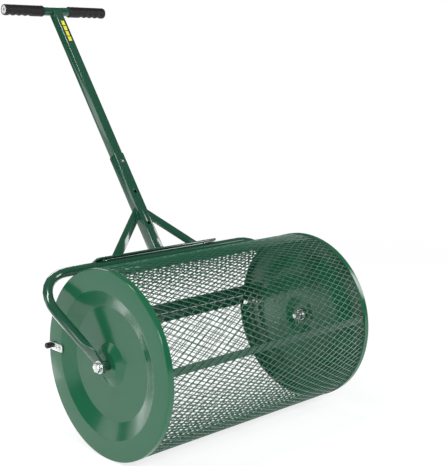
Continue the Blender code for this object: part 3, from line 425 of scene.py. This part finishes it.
# ---------------------------------------------------------------- grips
# Moulded rubber sleeves pushed on the T-bar: a flange at the inner end, fine ribs beside it,
# and four shallow finger waists on the underside. Matt, with a fine grain.
slide = next(joint for joint in frame["joints"] if joint["name"] == "handle_slide")
lean = Vector(slide["axis"]).normalized()     # up the handle
front = Vector((0.0, -lean.z, lean.y))        # square to it, ahead
t_bar = middle("t_bar")
t_bar.x = 0.0
GRIP_BORE_R, GRIP_R = 0.0113, 0.0139
FLANGE_PROUD, FLANGE_SHARE = 0.0004, 0.05
WAIST_DEPTH, WAISTS, WAISTS_FROM, WAISTS_TO = 0.0025, 4, 0.30, 0.92
WAIST_FACES = math.radians(-107)              # the underside, from the front
WAIST_WRAP = 0.6                              # lower wraps the waists further round
RIB_HEIGHT, RIB_TURNS, RIBS_FROM, RIBS_TO = 0.00018, 2200.0, 0.08, 0.28
END_ROUND, END_ROUND_LONG = 0.0012, 0.003
rubber = finish("matt black moulded rubber", "#0F0D0F", 0.55, relief=0.30, relief_mm=1.11)


def grip_radius(x, inner, outer, turn):
    share = (x - inner) / (outer - inner)
    r = GRIP_R
    if share >= FLANGE_SHARE:
        r -= FLANGE_PROUD
        if WAISTS_FROM < share < WAISTS_TO:
            under = max(0.0, math.cos(turn - WAIST_FACES)) ** WAIST_WRAP
            wave = WAISTS * (share - WAISTS_FROM) / (WAISTS_TO - WAISTS_FROM)
            r -= WAIST_DEPTH * (0.5 - 0.5 * math.cos(math.tau * wave)) * under
    end = min(x - inner, outer - x) / END_ROUND_LONG
    if end < 1.0:
        r -= END_ROUND * (1.0 - end) ** 2
    if RIBS_FROM < share < RIBS_TO:
        r += RIB_HEIGHT * math.sin(x * RIB_TURNS)
    return r


def grip(side, sign, stations=80, around=40):
    low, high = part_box("grip_" + side)
    inner, outer = sorted((abs(low[0]), abs(high[0])))
    turns = [math.tau * k / around for k in range(around)]
    form = bmesh.new()

    def ring(x, radius):
        return [form.verts.new(t_bar + Vector((sign * x, 0, 0))
                               + (front * math.cos(turn) + lean * math.sin(turn)) * radius(turn))
                for turn in turns]

    rings = []
    for i in range(stations + 1):
        x = inner + (outer - inner) * i / stations
        rings.append(ring(x, lambda turn: grip_radius(x, inner, outer, turn)))
    rings += [ring(x, lambda turn: GRIP_BORE_R) for x in (outer, inner)]
    skin(form, rings + rings[:1])
    bmesh.ops.recalc_face_normals(form, faces=form.faces)
    sleeve = link("moulded_grip_" + side, form, rubber)
    sleeve.data.shade_smooth()
    sleeve.data.set_sharp_from_angle(angle=math.radians(50))
    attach(sleeve, "upper_handle")
    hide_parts("grip_" + side)


grip("left", -1)
grip("right", 1)


# ---------------------------------------------------------------- label on the post
# A printed vinyl label on the front of the upper tube, a dark field with plain yellow bars and
# no lettering. Vinyl is smooth with a light gloss.
POST_HALF = 0.0120
VINYL = 0.00015
yellow_vinyl = finish("printed yellow vinyl", "#E2D23A", 0.35, coat=0.3)
green_vinyl = finish("printed dark green vinyl", "#1E4A34", 0.35, coat=0.3)


def label_piece(name, down, half_long, half_wide, lift, mat):
    """A flat piece of vinyl, its middle so far down the post from the T-bar."""
    form = bmesh.new()
    bmesh.ops.create_cube(form, size=1.0)
    bmesh.ops.scale(form, vec=(2 * half_wide, 2 * half_long, VINYL), verts=form.verts)
    turn = Matrix((Vector((1, 0, 0)), lean, front)).transposed().to_4x4()
    place = Matrix.Translation(t_bar - lean * down + front * (POST_HALF + lift))
    bmesh.ops.transform(form, matrix=place @ turn, verts=form.verts)
    bmesh.ops.recalc_face_normals(form, faces=form.faces)
    piece = link(name, form, mat)
    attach(piece, "upper_handle")


label_piece("label_field", 0.068, 0.0345, 0.0056, 0.0001, green_vinyl)
for number in range(4):
    label_piece(f"label_bar_{number + 1}", 0.0440 + number * 0.016, 0.0066, 0.0044, 0.0003,
                yellow_vinyl)


# ---------------------------------------------------------------- weld beads
# Rippled fillet beads under the same satin coat: across the foot of the post, and on both
# faces of each brace at the bridge plate and at the post.
BEAD_AROUND, BEAD_RINGS_A_RIPPLE = 10, 6
BEAD_TAPER, BEAD_TIP = 0.06, 0.25             # share of its length, and of its radius at the tip
RIPPLE = 0.12                                 # share of its radius


def bead(name, start, end, radius, ripples):
    length = end - start
    side = length.normalized().orthogonal().normalized()
    other = length.normalized().cross(side)
    turns = [math.tau * k / BEAD_AROUND for k in range(BEAD_AROUND)]
    count = ripples * BEAD_RINGS_A_RIPPLE
    form = bmesh.new()
    rings = []
    for share in (i / count for i in range(count + 1)):
        taper = min(1.0, share / BEAD_TAPER + BEAD_TIP, (1 - share) / BEAD_TAPER + BEAD_TIP)
        ripple = abs(math.sin(math.pi * ripples * share))
        r = radius * taper * (1 - RIPPLE + RIPPLE * ripple)
        rings.append([form.verts.new(start + length * share
                                     + (side * math.cos(turn) + other * math.sin(turn)) * r)
                      for turn in turns])
    skin(form, rings)
    form.faces.new(rings[0])
    form.faces.new(rings[-1])
    bmesh.ops.recalc_face_normals(form, faces=form.faces)
    weld = link(name, form, satin_coat_painted_darker)
    weld.data.shade_smooth()
    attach(weld, "handle_frame")


PLATE_HALF = 0.0022
FOOT_EDGE, FOOT_HALF = 0.0138, 0.0125         # the post's face ahead, and half its width
BRACE_FACE = 0.0021                           # half a brace's thickness
BRACE_FOOT_FROM, BRACE_FOOT_TO = 0.102, 0.131
BRACE_TOP_UP, BRACE_TOP_OUT, BRACE_TOP_HALF = 0.0985, 0.0140, 0.013
sideways = Vector((1, 0, 0))
plate = middle("bridge_plate")
foot = Vector((0.0, plate.y, plate.z)) + lean * PLATE_HALF
for label, ahead in (("front", 1), ("back", -1)):
    edge_at = foot + front * ahead * FOOT_EDGE
    bead("weld_post_foot_" + label, edge_at - sideways * FOOT_HALF,
         edge_at + sideways * FOOT_HALF, 0.0018, 9)
for side, sign in (("left", -1), ("right", 1)):
    out = sideways * sign
    for label, ahead in (("front", 1), ("back", -1)):
        face = foot + front * ahead * BRACE_FACE
        bead(f"weld_brace_foot_{side}_{label}", face + out * BRACE_FOOT_FROM,
             face + out * BRACE_FOOT_TO, 0.0016, 10)
        top = face + lean * BRACE_TOP_UP + out * BRACE_TOP_OUT
        bead(f"weld_brace_top_{side}_{label}", top - lean * BRACE_TOP_HALF,
             top + lean * BRACE_TOP_HALF, 0.0015, 9)


# ---------------------------------------------------------------- floor
# Plain pale studio paper, flat and far wider than any view. It fades to clean white away from
# the roller, so that it meets the surround without a line.
FLOOR_R = 40.0
FADE_FROM, FADE_TO = 0.7, 2.6                 # metres from the roller
FADE_NEAR = 0.72                              # share of clean white under the roller
form = bmesh.new()
bmesh.ops.create_circle(form, cap_ends=True, radius=FLOOR_R, segments=64)
bmesh.ops.translate(form, vec=(0.0, 0.0, -0.0002), verts=form.verts)
paper = finish("pale studio paper", "#F6F6F5", 0.8)
tree = paper.node_tree
shader = tree.nodes["Principled BSDF"]
shader.inputs["Emission Color"].default_value = (0.90, 0.97, 1.0, 1.0)
shader.inputs["Emission Strength"].default_value = 0.30
spot = add(tree, "ShaderNodeTexCoord")
away = add(tree, "ShaderNodeVectorMath", [(spot.outputs["Object"], 0)], operation="LENGTH")
fade = add(tree, "ShaderNodeMapRange", [(away.outputs["Value"], "Value")],
           From_Min=FADE_FROM, From_Max=FADE_TO, To_Min=FADE_NEAR, To_Max=1.0)
seen = add(tree, "ShaderNodeLightPath")
bleach = add(tree, "ShaderNodeMath", [(seen.outputs["Is Camera Ray"], 0),
                                      (fade.outputs["Result"], 1)], operation="MULTIPLY")
white = add(tree, "ShaderNodeEmission", Color=(1.0, 1.0, 1.0, 1.0))
page = add(tree, "ShaderNodeMixShader", [(bleach.outputs[0], 0), (shader.outputs[0], 1),
                                         (white.outputs[0], 2)])
tree.links.new(page.outputs[0], tree.nodes["Material Output"].inputs["Surface"])
link("floor", form, paper)


# ---------------------------------------------------------------- light
# Soft boxes ahead, at the left and behind, a long strip overhead for the crisp line along the
# tubes, and a low one behind that shows in the disc's sloped wall. The surround is dim as
# light, brighter overhead, and white to the eye.
def softbox(name, place, aim, size, power):
    data = bpy.data.lights.new(name, "AREA")
    data.shape = "RECTANGLE"
    data.size, data.size_y = size
    data.energy = power
    lamp = bpy.data.objects.new(name, data)
    lamp.location = place
    lamp.rotation_euler = (Vector(aim) - Vector(place)).to_track_quat("-Z", "Y").to_euler()
    lamp.visible_camera = False
    bpy.context.scene.collection.objects.link(lamp)


softbox("key", (-0.6, -3.0, 2.1), (0.1, 0.0, 0.3), (1.2, 0.8), 56.0)
softbox("strip", (-1.3, 0.3, 2.8), (0.0, 0.0, 0.3), (0.3, 2.4), 46.0)
softbox("side", (-3.2, -0.6, 0.9), (-0.3, 0.0, 0.2), (0.4, 1.4), 12.0)
softbox("face", (-2.3, -2.4, 1.9), (0.3, 0.0, 0.25), (0.5, 0.8), 24.0)
softbox("far", (2.6, -1.6, 1.5), (0.2, 0.0, 0.3), (0.6, 1.4), 22.0)
softbox("rear", (1.2, 3.2, 2.2), (0.0, 0.0, 0.3), (1.6, 1.2), 30.0)
softbox("card", (-2.5, 2.3, 0.9), (0.0, 0.0, 0.4), (1.0, 1.6), 9.0)
softbox("bounce", (-0.3, 1.1, 0.005), (-0.3, 1.1, 1.0), (0.5, 1.6), 4.0)
world = bpy.data.worlds.new("studio")
world.use_nodes = True
tree = world.node_tree
ways = add(tree, "ShaderNodeTexCoord")
parts = add(tree, "ShaderNodeSeparateXYZ", [(ways.outputs["Generated"], 0)])
rise = add(tree, "ShaderNodeMapRange", [(parts.outputs["Z"], "Value")],
           From_Min=-0.2, From_Max=0.9, To_Min=0.02, To_Max=0.22)
direct = add(tree, "ShaderNodeLightPath")
strength = add(tree, "ShaderNodeMath", [(direct.outputs["Is Camera Ray"], 0),
                                        (rise.outputs["Result"], 1)], operation="MAXIMUM")
tree.links.new(strength.outputs[0], tree.nodes["Background"].inputs["Strength"])
tree.nodes["Background"].inputs["Color"].default_value = (1.0, 1.0, 1.0, 1.0)
bpy.context.scene.world = world
bpy.context.scene.view_settings.view_transform = "Standard"


# ---------------------------------------------------------------- camera
# Held below eye height, ahead and to the left of the drum, and looking a little down across it.
camera_data = bpy.data.cameras.new("camera")
camera_data.lens = 75.7
camera_data.sensor_width = 36.0
camera = bpy.data.objects.new("camera", camera_data)
camera.location = (-1.4584, axle.y - 1.5655, 0.8065)
camera.rotation_euler = [math.radians(angle) for angle in (80.2778, 0.2481, -43.6313)]
bpy.context.scene.collection.objects.link(camera)
bpy.context.scene.camera = camera
